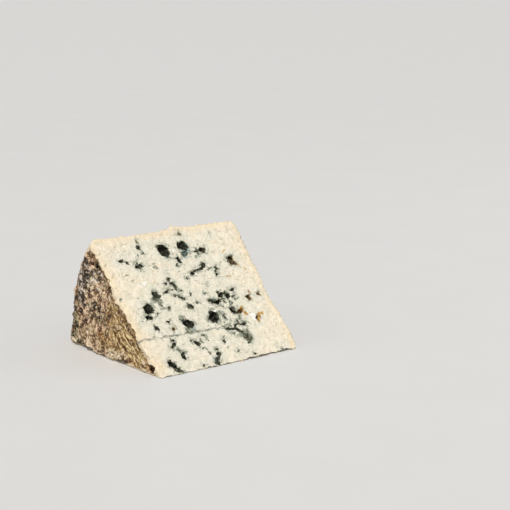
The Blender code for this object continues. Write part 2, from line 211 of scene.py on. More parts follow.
# Its first entry, at (28.6, 25.4), is a painted highlight on the moist paste; the others are pale patches of
# the paste.
WHITE_STAINS_AND_HIGHLIGHT = [
    (28.6, 25.4, 6.6, 4.4, 80, 0.55), (38.4, 37.6, 4.0, 2.4, 70, 0.5), (35.0, 50.0, 6.0, 2.6, 60, 0.4),
    (5.6, 33.6, 4.0, 2.4, -40, 0.5), (-1.0, 76.0, 4.0, 3.0, 30, 0.4), (-30.0, 58.0, 7.0, 4.0, 20, 0.4),
]

# Blotches on the left rind: back from the middle, up, radius along Y, radius along Z, strength
OCHRE_BLOTCHES = [
    (20, 13, 7, 4, 0.7), (-26, 8, 14, 8, 1.0), (-14, 18, 10, 11, 1.0), (-4, 27, 8, 8, 0.9),
    (-8, 12, 10, 10, 0.9), (8, 9, 10, 6, 0.6), (4, 42, 4, 4, 0.6), (22, 8, 8, 6, 0.5),
    (10, 38, 6, 4, 0.35), (-24, 17, 8, 9, 1.0),
]
GREY_BLOTCHES = [
    (14, 45, 8, 3.4, 1.0), (26, 40, 10, 8, 0.95), (30, 30, 5, 8, 0.7), (24, 50, 6, 5, 0.6),
    (16, 37, 8, 3, 0.5), (20, 24, 5, 5, 0.4),
]
# The entries at (12.4, 50.6), (2.6, 45) and (-36.8, 3.0) sit in torn hollows and are painted shade there; the
# others are the rind's own dark patches.
DARK_BLOTCHES_AND_PIT_SHADE = [
    (12.4, 50.6, 4.2, 3.0, 1.0), (38, 11, 5, 13, 0.9), (34, 4, 6, 4, 0.8), (23, 43, 7, 1.4, 0.9),
    (-1.6, 40, 1.6, 4.0, 0.7), (2.6, 45, 2.4, 1.8, 0.8), (-2, 36, 2, 2, 0.7), (8, 21, 9, 3, 0.6),
    (14, 26, 8, 3, 0.6), (16, 14, 2, 7, 0.5), (36, 24, 3, 6, 0.6), (-20, 22.6, 2.4, 1.4, 0.5),
    (16, 57, 1.6, 0.8, 0.9), (-36.8, 3.0, 1.8, 1.4, 0.6), (2, 18, 4, 1.6, 0.5), (30, 20, 5, 2, 0.5),
    (19, 28, 5, 4, 0.5), (20, 22, 4, 4, 0.5), (0, 16, 6, 6, 0.36), (0, 24, 5, 4, 0.3), (-30, 6, 4, 3, 0.3),
]
# Its first entry, at (15.5, 43.6), is a painted highlight; the others are the rind's own pale patches.
PALE_BLOTCHES_AND_HIGHLIGHT = [
    (15.5, 43.6, 2.2, 1.3, 1.0), (12, 45, 3, 1.4, 0.6), (-12, 20, 6, 2, 0.4), (-12, 7, 5, 3, 0.5),
    (24, 7, 5, 3, 0.5), (24, 35, 4, 2, 0.5), (-4, 4, 5, 4, 0.6), (24, 10, 3, 2, 0.6), (6, 38, 9, 5, 0.7),
    (20, 38, 6, 3, 0.5), (27, 6, 9, 4, 0.6), (20, 14, 6, 4, 0.5), (10, 31, 6, 3, 0.4),
    (-33, 0.4, 6, 1.2, 0.8), (38, 2, 4, 2.4, 0.9), (12, 6, 7, 4, 0.5), (20, 7, 7, 5, 0.7),
]
RUST_BLOTCHES = [
    (-35.4, 3.4, 6.4, 4.8, 1.0), (-5, 9, 4.6, 4, 0.6), (6, 11, 6, 4, 0.8), (17, 8, 2, 6, 0.7),
    (12, 52, 5, 3, 0.5), (-1, 22, 6, 5, 1.0), (12, 34, 6, 3, 0.3), (1, 14, 6, 4, 1.0),
]

STAINS = {
    "teal": TEAL_STAINS,
    "grey": GREY_STAINS,
    "ochre": OCHRE_STAINS,
    "brown": BROWN_STAINS,
    "white_and_highlight": WHITE_STAINS_AND_HIGHLIGHT,
}
# The rind's colours: blotches on the left, number of its noise, how common at the foot and at the top
RIND_ZONES = {
    "rind_ochre": (OCHRE_BLOTCHES, 30, 0.45, -0.25),
    "rind_grey": (GREY_BLOTCHES, 40, -0.3, 0.4),
    "rind_dark_and_pit_shade": (DARK_BLOTCHES_AND_PIT_SHADE, 50, -0.25, -0.35),
    "rind_rust": (RUST_BLOTCHES, 60, 0.0, -0.3),
    "rind_pale_and_highlight": (PALE_BLOTCHES_AND_HIGHLIGHT, 70, -0.4, -0.4),
}

# Where crumbs cling, in millimetres: how many, ranges of x, y and z, smallest and largest size
CRUMB_PLACES = [
    (26, (-56, -56), (-14, 2), (0.4, 5.0), (0.25, 0.8)), (8, (-56, -56), (-38, -28), (0.4, 6.0), (0.25, 0.6)),
    (8, (-56, -56), (36, 43), (0.4, 3.0), (0.3, 0.9)), (14, (-56, -56), (-24, 34), (0.4, 1.6), (0.2, 0.5)),
    (7, (0, 14), (20, 21), (68, 69), (0.2, 0.5)), (20, (-44, 45), (-50, -49), (0.2, 1.0), (0.2, 0.6)),
    (5, (56, 56), (-42, -38), (0.3, 1.5), (0.2, 0.5)), (14, (56, 56), (-30, 40), (0.3, 2.0), (0.25, 0.7)),
    (24, (-42, 42), (-40, 10), (70, 71), (0.15, 0.4)),
]
CRUMB_SEED = 5


def smooth_step(values, low, high):
    """0 below low, 1 above high, and an S between; with low above high it falls instead."""
    share = np.clip((values - low) / (high - low), 0, 1)
    return share * share * (3 - 2 * share)


def smooth_noise(points, size, place, basis="PERLIN_ORIGINAL"):
    """Noise at points, all in millimetres, with lumps of a size; each place number gives other noise."""
    scaled = (points / size + NOISE_SHIFT * place).tolist()
    return np.array([noise.noise(point, noise_basis=basis) for point in scaled])


def at(values, pairs):
    """Reads a listed line of (place, height) pairs at the places given."""
    return np.interp(values, *zip(*pairs))


class Surface:
    """A mesh's points, normals and edges as arrays, in millimetres."""

    def __init__(self, piece):
        self.mesh = piece.data
        self.points = self.read(self.mesh.vertices, "co", 3) / MM
        self.edges = self.read(self.mesh.edges, "vertices", 2, np.int32)
        self.count = len(self.points)
        self.renew_normals()

    def read(self, owners, name, width, kind=np.float32):
        values = np.empty(len(owners) * width, kind)
        owners.foreach_get(name, values)
        return values.reshape(-1, width)

    def renew_normals(self):
        self.mesh.vertices.foreach_set("co", (self.points * MM).astype(np.float32).ravel())
        self.mesh.update()
        self.normals = self.read(self.mesh.vertex_normals, "vector", 3)

    def blur(self, values, times):
        """Spreads values over the mesh, each time halfway to the mean of a point's neighbours."""
        first, second = self.edges.T
        neighbours = np.bincount(first, minlength=self.count) + np.bincount(second, minlength=self.count)
        for _ in range(times):
            total = np.bincount(first, values[second], self.count)
            total += np.bincount(second, values[first], self.count)
            values = (values + total / np.maximum(neighbours, 1)) / 2
        return values

    def distance_to(self, chosen):
        """How far each point is from the nearest chosen one, up to the far range."""
        places = self.points[chosen]
        tree = KDTree(len(places))
        for number, place in enumerate(places.tolist()):
            tree.insert(place, number)
        tree.balance()
        distances = np.array([tree.find(point)[2] for point in self.points.tolist()])
        return np.minimum(distances, FAR_RANGE)

    def keep_layer(self, name, values):
        layer = self.mesh.attributes.new(name, "FLOAT", "POINT")
        layer.data.foreach_set("value", values.astype(np.float32))


def tip_line(surface):
    """How far back from the origin the tip edge lies, in millimetres, from the plane of the upper cut."""
    on_cut = surface.normals @ CUT_NORMAL > 0.97
    return -np.median(surface.points[on_cut] @ CUT_NORMAL) / math.sin(WEDGE_ANGLE)


def rim_distance(angle):
    """How far the rim is from the tip edge, at an angle above the base."""
    off_middle = angle - WEDGE_ANGLE / 2
    return np.sqrt(WHEEL_RADIUS**2 - (TIP_OFFSET * np.sin(off_middle)) ** 2) - TIP_OFFSET * np.cos(off_middle)


class Places:
    """Where a surface's points lie in the wedge, in millimetres."""

    def __init__(self, surface, tip_y):
        self.across, self.back, self.height = surface.points.T
        from_tip = self.back - tip_y
        self.up = from_tip * math.cos(WEDGE_ANGLE) + self.height * math.sin(WEDGE_ANGLE)
        self.below_cut = from_tip * math.sin(WEDGE_ANGLE) - self.height * math.cos(WEDGE_ANGLE)
        reach = np.hypot(from_tip, self.height)
        self.rim_gap = rim_distance(np.arctan2(self.height, from_tip)) - reach
        flare = np.where(self.across < 0, at(reach, LEFT_FLARE), at(reach, RIGHT_FLARE))
        self.side_gap = TIP_WIDTH / 2 + flare - np.abs(self.across)
        round_gap = SHOULDER - np.hypot(SHOULDER - self.side_gap, SHOULDER - self.rim_gap)
        in_shoulder = (self.side_gap < SHOULDER) & (self.rim_gap < SHOULDER)
        self.below_rind = np.where(in_shoulder, round_gap, np.minimum(self.side_gap, self.rim_gap))
        self.on_flat = self.side_gap < self.rim_gap
        self.side = np.sign(self.across)


def stretched(points, length, width):
    """Points squeezed along the cut's slope, so that noise at them makes streaks of a length and width."""
    return points + np.outer(points @ UP_SLOPE, UP_SLOPE) * (width / length - 1)


def fine_copy(node):
    """A closed mesh of small even faces in the shape of a CAD node."""
    bm = bmesh.new()
    bm.from_mesh(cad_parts[node].data)
    bmesh.ops.remove_doubles(bm, verts=bm.verts, dist=MICRON * MM)
    mesh = bpy.data.meshes.new("cheese_wedge")
    bm.to_mesh(mesh)
    bm.free()
    piece = bpy.data.objects.new("cheese_wedge", mesh)
    bpy.context.scene.collection.objects.link(piece)
    remesh = piece.modifiers.new("fine", "REMESH")
    remesh.mode = "VOXEL"
    remesh.voxel_size = VOXEL
    apply_modifiers(piece)
    return piece


def apply_modifiers(piece):
    evaluated = piece.evaluated_get(bpy.context.evaluated_depsgraph_get())
    mesh = bpy.data.meshes.new_from_object(evaluated)
    piece.modifiers.clear()
    piece.data = mesh


def ovals(first, second, spots):
    """The strongest of a list of ovals at each point: first, second, two radii and a strength each."""
    strongest = np.zeros(len(first))
    for middle_first, middle_second, radius_first, radius_second, strength in spots:
        share = np.hypot((first - middle_first) / radius_first, (second - middle_second) / radius_second)
        strongest = np.maximum(strongest, strength * smooth_step(share, 1.3, 0.4))
    return strongest


def rind_share(surface, places):
    """1 on the rind and 0 on paste, with a wandering border, bare paste at the top and broken places."""
    points = surface.points
    wander = smooth_noise(points, 9, 1) + 0.6 * smooth_noise(points, 3, 2)
    fine_wander = 0.5 * smooth_noise(points, 1.6, 3)
    on_left = (places.side < 0) & places.on_flat
    edge = np.where(on_left, at(places.back, LEFT_BORDER) + 0.35 * wander, 1.3 + 1.2 * wander) + fine_wander
    off_cut = smooth_step(places.below_cut - edge, -0.2, 0.4)
    off_base = smooth_step(places.height - 0.7 - 0.7 * wander, 0, 0.5)
    outside = smooth_step(places.below_rind, 3.6, 2.4)
    from_shoulder = np.maximum(places.rim_gap, 1.6 * places.side_gap)
    bare = smooth_step(at(places.height, BARE_SHOULDER) - from_shoulder + fine_wander, -0.3, 0.5)
    covered = 1 - bare * (places.side < 0)
    broken = np.zeros(surface.count)
    for side in (-1, 1):
        spots = [(back, up, wide, tall, 1.0) for of_side, back, up, wide, tall in CHIPS if of_side == side]
        on_side = (places.side == side) & places.on_flat
        broken = np.where(on_side, ovals(places.back, places.height, spots), broken)
    whole = smooth_step(broken + 0.9 * fine_wander + 0.3 * wander, 0.75, 0.45)
    return off_cut * off_base * outside * covered * whole


def torn_hollows(places):
    """How deep the torn hollows in the left rind are, in millimetres."""
    return ovals(places.back, places.height, HOLLOWS) * (places.across < -38)


def rind_relief(surface, places):
    """How far the rind stands out, in millimetres: lumps, crags, streaks and small craters."""
    points = surface.points
    lumps = 0.50 * smooth_noise(points, 7, 4)
    crags = 1.2 * (np.abs(smooth_noise(points, 3.4, 5)) - 0.25)
    knobs = 0.50 * smooth_noise(points, 1.9, 6) + 0.32 * smooth_noise(points, 0.9, 7)
    streaks = 0.45 * smooth_noise(stretched(points, 9, 1.5), 1.5, 8)
    front = smooth_step(places.back, 8, -6)
    cells = smooth_noise(points, 4.5, 9, "VORONOI_F1")
    craters = -0.6 * smooth_step(cells, -0.55, -0.85)
    rough = lumps + craters + (1 - 0.55 * front) * (crags + knobs) + (0.4 + 0.6 * front) * streaks
    return rough * (0.3 + 0.7 * smooth_step(places.below_cut, 0.5, 3.5))


def paste_relief(surface):
    """How far the cut paste stands out, in millimetres: soft waves, crumble, curd seams and dents."""
    points = surface.points
    waves = 0.18 * smooth_noise(points, 6, 10) + 0.20 * smooth_noise(points, 2.8, 11)
    crumble = 0.20 * smooth_noise(points, 1.4, 12) + 0.10 * smooth_noise(points, 0.7, 13)
    seams = smooth_noise(points, 6.5, 14, "VORONOI_F2F1")
    seam_dents = -0.28 * smooth_step(seams, -0.86, -0.99)
    dents = -0.40 * smooth_step(smooth_noise(points, 2.1, 15), 0.18, 0.5)
    cells = smooth_noise(points, 3.4, 16, "VORONOI_F1")
    pinholes = -0.5 * smooth_step(cells, -0.72, -0.88) * smooth_step(smooth_noise(points, 11, 17), -0.1, 0.25)
    return waves + crumble + seam_dents + dents + pinholes


def jag(surface, places):
    """Pulls points sideways a little on the cut, so that eyes and edges get ragged outlines."""
    near_cut = smooth_step(places.below_cut, 6, 4)
    pull = np.zeros((surface.count, 3))
    for height, length, place in ((0.85, 2.4, 80), (0.65, 1.2, 90)):
        axes = [smooth_noise(surface.points, length, place + axis) for axis in range(3)]
        pull += height * np.stack(axes, axis=1)
    pull -= np.outer(pull @ CUT_NORMAL, CUT_NORMAL)
    pull[:, 2] *= smooth_step(places.height, 0.4, 3.0)
    calm_ridge = 1 - 0.7 * smooth_step(places.rim_gap, 4, 1)
    return pull * (near_cut * calm_ridge)[:, None]


def ragged_ridge(surface, places):
    """Makes the top edge jagged, with a notch on the left and a torn crest right of the middle."""
    near_ridge = smooth_step(places.rim_gap, 4.5, 0.4) * smooth_step(places.below_cut, 4.5, 0.6)
    teeth = 0.5 * smooth_noise(surface.points * (1, 0, 0), 4.4, 18)
    teeth += 0.4 * smooth_noise(surface.points, 1.2, 19)
    teeth *= 0.4 + 0.6 * smooth_step(places.across, -5, 1)
    crest = 1.5 * np.exp(-(((places.across - 6) / 5.5) ** 2))
    crest -= 0.7 * np.exp(-(((places.across + 25) / 2.0) ** 2))
    step = 0.7 * smooth_step(places.across, 2, 5)
    return np.outer(near_ridge * (teeth + crest + step), UP_SLOPE)


def lifted_edges(surface, places):
    """Draws the foot of the rind inwards and lifts bits of the front edge, so that it stands unevenly."""
    foot = smooth_step(places.height, 3.0, 0.3) * smooth_step(places.below_rind, 3.5, 0.5)
    gaps = smooth_step(smooth_noise(surface.points * (0, 1, 0), 8, 20), -0.25, 0.3)
    inwards = -3.4 * places.side * foot * gaps * smooth_step(places.back, -36, -26) * places.on_flat
    front = smooth_step(places.up, 2.4, 0.4)
    bits = smooth_step(smooth_noise(surface.points * (1, 0, 0), 6, 21), -0.1, 0.35)
    right = smooth_step(places.across, 0, 20) * smooth_step(places.across, 46, 36)
    upwards = front * (0.25 + 0.6 * bits + 0.7 * right) * smooth_step(np.abs(places.across), 48, 42)
    return np.stack([inwards, np.zeros(surface.count), upwards], axis=1)


class CutFace:
    """The points on and near the upper cut face, for marks that are given by places on it."""

    def __init__(self, surface, places):
        on_cut = (np.abs(places.below_cut) < 2.4) & (places.up < 93) & (places.below_rind > -2)
        self.near = np.flatnonzero(on_cut)
        points = surface.points[self.near]
        warp = 0.75 * smooth_noise(points, 2.4, 22), 0.75 * smooth_noise(points, 2.4, 23)
        fine = 0.40 * smooth_noise(points, 1.0, 24), 0.40 * smooth_noise(points, 1.0, 25)
        self.across = places.across[self.near] + warp[0] + fine[0]
        self.up = places.up[self.near] + warp[1] + fine[1]
        self.facing = smooth_step(surface.normals[self.near] @ CUT_NORMAL, 0.2, 0.6)

    def oval(self, across, up, length, width, turn):
        """Distance from an oval's middle, as a share of the way to its edge."""
        along = Vector((math.cos(math.radians(turn)), math.sin(math.radians(turn))))
        x, y = self.across - across, self.up - up
        return np.hypot((x * along.x + y * along.y) * 2 / length, (y * along.x - x * along.y) * 2 / width)

    def line(self, route):
        """Distance from a line through places on the face, in millimetres."""
        nearest = np.full(len(self.near), FAR_RANGE)
        for (x0, y0), (x1, y1) in zip(route, route[1:]):
            run_x, run_y = x1 - x0, y1 - y0
            share = ((self.across - x0) * run_x + (self.up - y0) * run_y) / (run_x**2 + run_y**2)
            share = np.clip(share, 0, 1)
            gap = np.hypot(self.across - x0 - share * run_x, self.up - y0 - share * run_y)
            nearest = np.minimum(nearest, gap)
        return nearest


def carve(surface, face):
    """Sinks the veins and small eyes into the cut face, and says how mouldy each point is from them."""
    width, depth, route = NEEDLE_TRACK
    sink = depth * smooth_step(face.line(route) * 2 / width, 1.25, 0.2)
    dark = np.zeros(len(face.near))
    gaps = 3.6 * np.maximum(smooth_noise(surface.points[face.near], 1.7, 28), 0)
    for width, depth, route in VEINS:
        share = face.line(route) * 2 / width + gaps / width
        sink = np.maximum(sink, depth * smooth_step(share, 1.25, 0.2))
        dark = np.maximum(dark, min(1, 0.35 + 0.6 * depth) * smooth_step(share, 1.35, 0.7))
    for across, up, length, width, turn, depth in SMALL_EYES:
        share = face.oval(across, up, length, width, turn)
        sink = np.maximum(sink, depth * smooth_step(share, 1.2, 0.35))
        dark = np.maximum(dark, min(1, 0.4 + 0.7 * depth) * smooth_step(share, 1.25, 0.8))
    surface.points[face.near] -= np.outer(sink * face.facing, CUT_NORMAL)
    mould = np.zeros(surface.count)
    mould[face.near] = dark * face.facing
    return mould


def needle_layer(surface, face):
    """Where the needle's grey track shows, stronger in some stretches than in others."""
    width, _, route = NEEDLE_TRACK
    patchy = 0.75 + 0.6 * smooth_noise(surface.points[face.near], 3.5, 26)
    layer = np.zeros(surface.count)
    layer[face.near] = np.clip(patchy, 0, 1) * smooth_step(face.line(route) * 2 / width, 1.6, 0.6)
    return layer


def stain_layer(surface, face, stains):
    """How strongly each point is stained, or painted with a listed highlight, by a list of ovals on the cut
    face.
    """
    strength = np.zeros(len(face.near))
    for across, up, length, width, turn, stain in stains:
        share = face.oval(across, up, length, width, turn)
        strength = np.maximum(strength, stain * smooth_step(share, 1.25, 0.55))
    layer = np.zeros(surface.count)
    layer[face.near] = strength
    return surface.blur(layer, 2)


def blotch_layer(surface, places, blotches, seed, low_share, high_share):
    """How strongly each point of the rind shows a colour.

    On the left the blotches are placed. Elsewhere they drift, and the two shares say how common they are
    at the foot and at the top, from -1 to 1.
    """
    points = surface.points
    drift = smooth_noise(points, 17, seed) + 0.6 * smooth_noise(points, 6, seed + 1)
    common = low_share + (high_share - low_share) * np.clip(places.height / 60, 0, 1)
    wander_y = 2.4 * smooth_noise(points, 4, seed + 2) + 1.2 * smooth_noise(points, 1.8, seed + 3)
    wander_z = 2.4 * smooth_noise(points, 4, seed + 4) + 1.2 * smooth_noise(points, 1.8, seed + 5)
    placed = ovals(places.back + wander_y, places.height + wander_z, blotches)
    left = (places.side < 0) & places.on_flat
    return np.where(left, placed, 0.75 * smooth_step(drift + common, -0.15, 1.0))


def rind_layers(surface, places):
    """Where the rind has each of its colours, where it is beside the cut, and where it is calm."""
    layers = {name: blotch_layer(surface, places, *zone) for name, zone in RIND_ZONES.items()}
    # Paler along the edge where each flat face meets the rim.
    pale_rim_edge = 0.9 * smooth_step(places.rim_gap, 1.6, 0.2) * smooth_step(places.below_rind, 2, 1)
    layers["rind_pale_and_highlight"] = np.maximum(layers["rind_pale_and_highlight"], pale_rim_edge * places.on_flat)
    layers["rind_edge"] = smooth_step(places.below_cut, 6.5, 2.0)
    calm_rim = 0.3 * smooth_step(places.rim_gap, 5, 1)
    calm_right = 0.5 * smooth_step(places.across, -48, -20)
    layers["calm"] = np.maximum(calm_right, calm_rim)
    return layers


def sculpt(piece):
    """Gives the fine copy its relief and the layers that its material reads."""
    surface = Surface(piece)
    places = Places(surface, tip_line(surface))
    rind = rind_share(surface, places)
    torn = smooth_step(torn_hollows(places), 0.2, 0.7)
    rind = np.maximum(rind, torn)
    in_paste = smooth_step(places.below_rind, 1.8, 3.0) * (1 - torn)
    sunk = np.minimum(places.below_cut, places.height) * in_paste
    mould = smooth_step(sunk + 0.5 * smooth_noise(surface.points, 1.1, 27), 0.45, 0.95)

    calm_base = smooth_step(places.height, 0.2, 1.6)
    crags = rind_relief(surface, places)
    in_eyes = 1 + 1.5 * smooth_step(sunk, 0.8, 2.0)
    crumble = paste_relief(surface)
    relief = rind * (crags - torn_hollows(places)) + (1 - rind) * crumble * in_eyes
    underside = smooth_step(-surface.normals[:, 2], 0.7, 0.95) * smooth_step(places.height, 0.4, 0.1)
    surface.points += surface.normals * (relief * calm_base)[:, None]
    surface.points[:, 2] += underside * np.clip(0.15 + 0.6 * crumble, 0, 0.6)
    surface.points += ragged_ridge(surface, places)
    surface.points += lifted_edges(surface, places)
    surface.points += jag(surface, places)
    surface.renew_normals()

    face = CutFace(surface, places)
    mould = np.maximum(mould, carve(surface, face))
    surface.points[:, 2] = np.maximum(surface.points[:, 2], 0)
    surface.renew_normals()

    layers = {"rind": rind, "crags": crags, "mould": mould, "sunk": np.clip(sunk, 0, DEEPEST)}
    layers["from_mould"] = surface.distance_to(mould > 0.6)
    layers["from_rind"] = surface.distance_to(rind > 0.5)
    layers["needle"] = needle_layer(surface, face)
    layers |= {name: stain_layer(surface, face, stains) for name, stains in STAINS.items()}
    layers |= rind_layers(surface, places)
    for name, values in layers.items():
        surface.keep_layer(name, values)


def thin_out(piece):
    """Joins faces where the surface is plain, down to at most MOST_TRIANGLES triangles."""
    piece.data.calc_loop_triangles()
    thinner = piece.modifiers.new("thinner", "DECIMATE")
    thinner.ratio = min(1, MOST_TRIANGLES / len(piece.data.loop_triangles))
    thinner.use_collapse_triangulate = True
    apply_modifiers(piece)
    piece.data.shade_smooth()


def colour(red, green, blue):
    """A linear colour from screen values of 0 to 255."""
    shares = [value / 255 for value in (red, green, blue)]
    linear = [share / 12.92 if share <= 0.04045 else ((share + 0.055) / 1.055) ** 2.4 for share in shares]
    return (*linear, 1.0)


class Paint:
    """Builds one node material around a Principled shader."""

    def __init__(self, name):
        self.material = bpy.data.materials.new(name)
        self.material.use_nodes = True
        self.nodes = self.material.node_tree.nodes
        self.links = self.material.node_tree.links
        self.shader = self.nodes["Principled BSDF"]
        self.place = self.add("ShaderNodeTexCoord").outputs["Object"]

    def feed(self, socket, value):
        if isinstance(value, bpy.types.NodeSocket):
            self.links.new(value, socket)
        else:
            socket.default_value = value

    def add(self, kind, inputs=None, **settings):
        node = self.nodes.new(kind)
        for name, value in settings.items():
            setattr(node, name, value)
        for name, value in (inputs or {}).items():
            self.feed(node.inputs[name], value)
        return node

    def layer(self, name):
        return self.add("ShaderNodeAttribute", attribute_name=name).outputs["Fac"]

    def calculate(self, operation, first, second=0.0):
        return self.add("ShaderNodeMath", {0: first, 1: second}, operation=operation).outputs[0]

    def times(self, first, second):
        return self.calculate("MULTIPLY", first, second)

    def plus(self, first, second):
        return self.calculate("ADD", first, second)

    def ease(self, value, low, high):
        """0 at low, 1 at high and an S between."""
        inputs = {"Value": value, "From Min": low, "From Max": high}
        return self.add("ShaderNodeMapRange", inputs, interpolation_type="SMOOTHSTEP").outputs["Result"]

    def noise(self, size, detail=3.0, stretch=1.0, turn=0.0):
        """Noise from 0 to 1, with lumps of a size in millimetres, stretched along Y after a turn about X."""
        inputs = {"Vector": self.place, "Scale": (1, stretch, 1), "Rotation": (turn, 0, 0)}
        place = self.add("ShaderNodeMapping", inputs, vector_type="TEXTURE").outputs[0]
        inputs = {"Vector": place, "Scale": 1 / (size * MM), "Detail": detail, "Roughness": 0.6}
        return self.add("ShaderNodeTexNoise", inputs).outputs["Fac"]

    def mix(self, share, first, second):
        node = self.add("ShaderNodeMix", data_type="RGBA")
        sockets = [socket for socket in node.inputs if socket.enabled]
        for socket, value in zip(sockets, (share, first, second)):
            self.feed(socket, value)
        return next(socket for socket in node.outputs if socket.enabled)

    def three(self, value, dark, middle, light):
        """Dark below 0, through a middle tone, to light above 1."""
        lower = self.mix(self.ease(value, 0.0, 0.5), dark, middle)
        return self.mix(self.ease(value, 0.5, 1.0), lower, light)

    def bump(self, height, distance, strength):
        inputs = {"Height": height, "Distance": distance * MM, "Strength": strength}
        return self.add("ShaderNodeBump", inputs).outputs["Normal"]


def paste_colour(paint):
    """Ivory paste: golden beside the rind, cool round the mould, with warm, cool and pale mottles."""
    near_rind = paint.ease(paint.plus(paint.layer("from_rind"), paint.noise(3.0)), 7.0, 0.8)
    near_mould = paint.ease(paint.layer("from_mould"), 9.0, 0.5)
    tones = colour(220, 213, 190), colour(234, 223, 199), colour(243, 232, 211)
    base = paint.three(paint.ease(paint.noise(4.0, 6.0), 0.32, 0.68), *tones)
    blush = paint.times(paint.ease(paint.noise(7.0, 3.0), 0.5, 0.7), 0.4)
    rosy = paint.mix(blush, base, colour(243, 222, 200))
    cool = paint.mix(paint.times(near_mould, 0.5), rosy, colour(218, 219, 204))
    warm = paint.mix(paint.times(near_rind, 0.5), cool, colour(240, 214, 170))
    flecks = paint.ease(paint.noise(1.1, 3.0), 0.60, 0.72)
    flecked = paint.mix(paint.times(flecks, 0.35), warm, colour(190, 184, 156))
    pale_flecks = paint.ease(paint.noise(1.3, 3.0, stretch=1.3), 0.58, 0.70)
    return paint.mix(paint.times(pale_flecks, 0.5), flecked, colour(253, 247, 232))


def tinted(paint, under, tones, strength=1.0):
    """Lays stains, and any painted highlight listed with them, over a colour in the order of their tones,
    torn and mottled by noise.
    """
    ragged = paint.times(paint.ease(paint.noise(1.7, 4.0), 0.34, 0.66), 0.9)
    mottle = paint.ease(paint.noise(1.3, 4.0), 0.38, 0.62)
    for name, (dark, light) in tones.items():
        share = paint.ease(paint.times(paint.layer(name), paint.plus(ragged, 0.55)), 0.22, 0.62)
        under = paint.mix(paint.times(share, strength), under, paint.mix(mottle, dark, light))
    return under


def stained_paste(paint):
    """The paste with its stains, one painted highlight, the needle's track and a thin grey fringe round the
    mould.
    """
    gap = paint.layer("from_mould")
    patchy = paint.times(paint.ease(paint.noise(2.2, 4.0), 0.38, 0.62), 2.2)
    fringe = paint.ease(paint.plus(gap, patchy), 2.8, 0.9)
    fringed = paint.mix(paint.times(fringe, 0.8), paste_colour(paint), colour(128, 134, 114))
    specks = paint.times(paint.ease(paint.noise(1.2, 2.0), 0.58, 0.68), paint.ease(gap, 4.5, 1.0))
    fringed = paint.mix(paint.times(specks, 0.6), fringed, colour(118, 124, 104))
    tones = {
        "white_and_highlight": (colour(244, 240, 226), colour(255, 255, 250)),
        "grey": (colour(112, 118, 98), colour(172, 174, 154)),
        "teal": (colour(128, 146, 136), colour(184, 196, 184)),
        "ochre": (colour(144, 104, 38), colour(208, 166, 92)),
        "brown": (colour(92, 72, 42), colour(160, 138, 96)),
    }
    stained = tinted(paint, fringed, tones)
    return paint.mix(paint.times(paint.layer("needle"), 0.9), stained, colour(104, 110, 102))


def mould_colour(paint):
    """Mould, darkened by painted shade to nearly black in the depth of an eye, paler in powdery patches of
    noise, tinted by the stains.
    """
    powder = paint.ease(paint.noise(1.1, 4.0), 0.42, 0.64)
    # Painted shade: the deeper the eye is sunk, the darker its mould.
    deep = paint.ease(paint.layer("sunk"), 0.6, 2.4)
    shallow = paint.mix(powder, colour(30, 31, 22), colour(108, 110, 88))
    base = paint.mix(paint.times(deep, 0.6), shallow, colour(24, 21, 13))
    # The stain tones in the eyes are darker than the same stains on the paste: partly the mould under them,
    # partly painted shade in the hollows.
    tones = {
        "grey": (colour(74, 78, 60), colour(146, 150, 128)),
        "teal": (colour(52, 66, 58), colour(128, 148, 138)),
        "ochre": (colour(92, 62, 18), colour(176, 130, 54)),
        "brown": (colour(48, 34, 16), colour(104, 82, 48)),
    }
    return tinted(paint, base, tones, 0.85)


